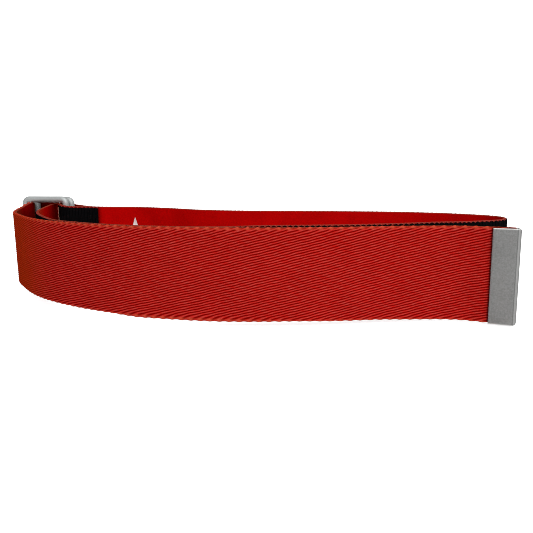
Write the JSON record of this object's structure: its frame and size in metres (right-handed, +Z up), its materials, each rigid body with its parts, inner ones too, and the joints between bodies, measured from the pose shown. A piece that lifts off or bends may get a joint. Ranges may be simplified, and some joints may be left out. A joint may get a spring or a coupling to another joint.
{
  "type": "webbing belt with two-ring buckle",
  "caption": "Webbing belt fastened in a flat loop through a pair of metal rings, with a ribbed twill tail that ends in a folded metal tip.",
  "frame": {"origin": "on the tail's bottom edge, at the middle of the belt's front, where it rests", "axes": "+X along the belt towards the metal end, +Y from the tail across the loop to its far run, +Z up the webbing's width"},
  "size_m": [0.2506, 0.1416, 0.0482],
  "materials": {
    "webbing_red": "smooth woven",
    "facing_black": "matte woven",
    "twill_red": "ribbed twill",
    "edge_thread": "thread",
    "black_thread": "thread",
    "mark_white": "printed film",
    "ring_metal": "satin",
    "end_metal": "matte"
  },
  "bodies": {
    "loop": {"belt_webbing": "webbing_red", "black_facing": "facing_black", "upper_edge_stitching": "edge_thread", "lower_edge_stitching": "edge_thread", "pocket_stitching": "black_thread", "printed_mark": "mark_white"},
    "inner_ring": {"inner_ring": "ring_metal"},
    "outer_ring": {"outer_ring": "ring_metal", "wrap_webbing": "webbing_red", "wrap_twill": "twill_red"},
    "tail_bend": {"bend_webbing": "webbing_red", "bend_twill": "twill_red"},
    "tail_side": {"side_webbing": "webbing_red", "side_twill": "twill_red"},
    "tail_front": {"front_webbing": "webbing_red", "front_twill": "twill_red"},
    "tail_end": {"end_webbing": "webbing_red", "end_twill": "twill_red", "metal_end": "end_metal"}
  },
  "joints": [
    {"name": "outer_ring_swing", "type": "hinge", "parent": "loop", "child": "outer_ring", "pos_m": [-0.1143, 0.1154, 0.019], "axis": [0, 0, -1], "range_deg": [0, 8]},
    {"name": "inner_ring_swing", "type": "hinge", "parent": "loop", "child": "inner_ring", "pos_m": [-0.1162, 0.1114, 0.019], "axis": [0, 0, -1], "range_deg": [0, 8]},
    {"name": "tail_flex_1", "type": "hinge", "parent": "outer_ring", "child": "tail_bend", "pos_m": [-0.1384, 0.1053, 0.019], "axis": [0, 0, -1], "range_deg": [0, 12]},
    {"name": "tail_flex_2", "type": "hinge", "parent": "tail_bend", "child": "tail_side", "pos_m": [-0.101, 0.0393, 0.019], "axis": [0, 0, -1], "range_deg": [0, 25]},
    {"name": "tail_flex_3", "type": "hinge", "parent": "tail_side", "child": "tail_front", "pos_m": [-0.027, 0.0038, 0.019], "axis": [0, 0, -1], "range_deg": [0, 30]},
    {"name": "tail_flex_4", "type": "hinge", "parent": "tail_front", "child": "tail_end", "pos_m": [0.03902, 0.00001, 0.019], "axis": [0, 0, -1], "range_deg": [-10, 35]}
  ],
  "couplings": [
    {"joint": "inner_ring_swing", "follows": "outer_ring_swing", "ratio": 1}
  ]
}
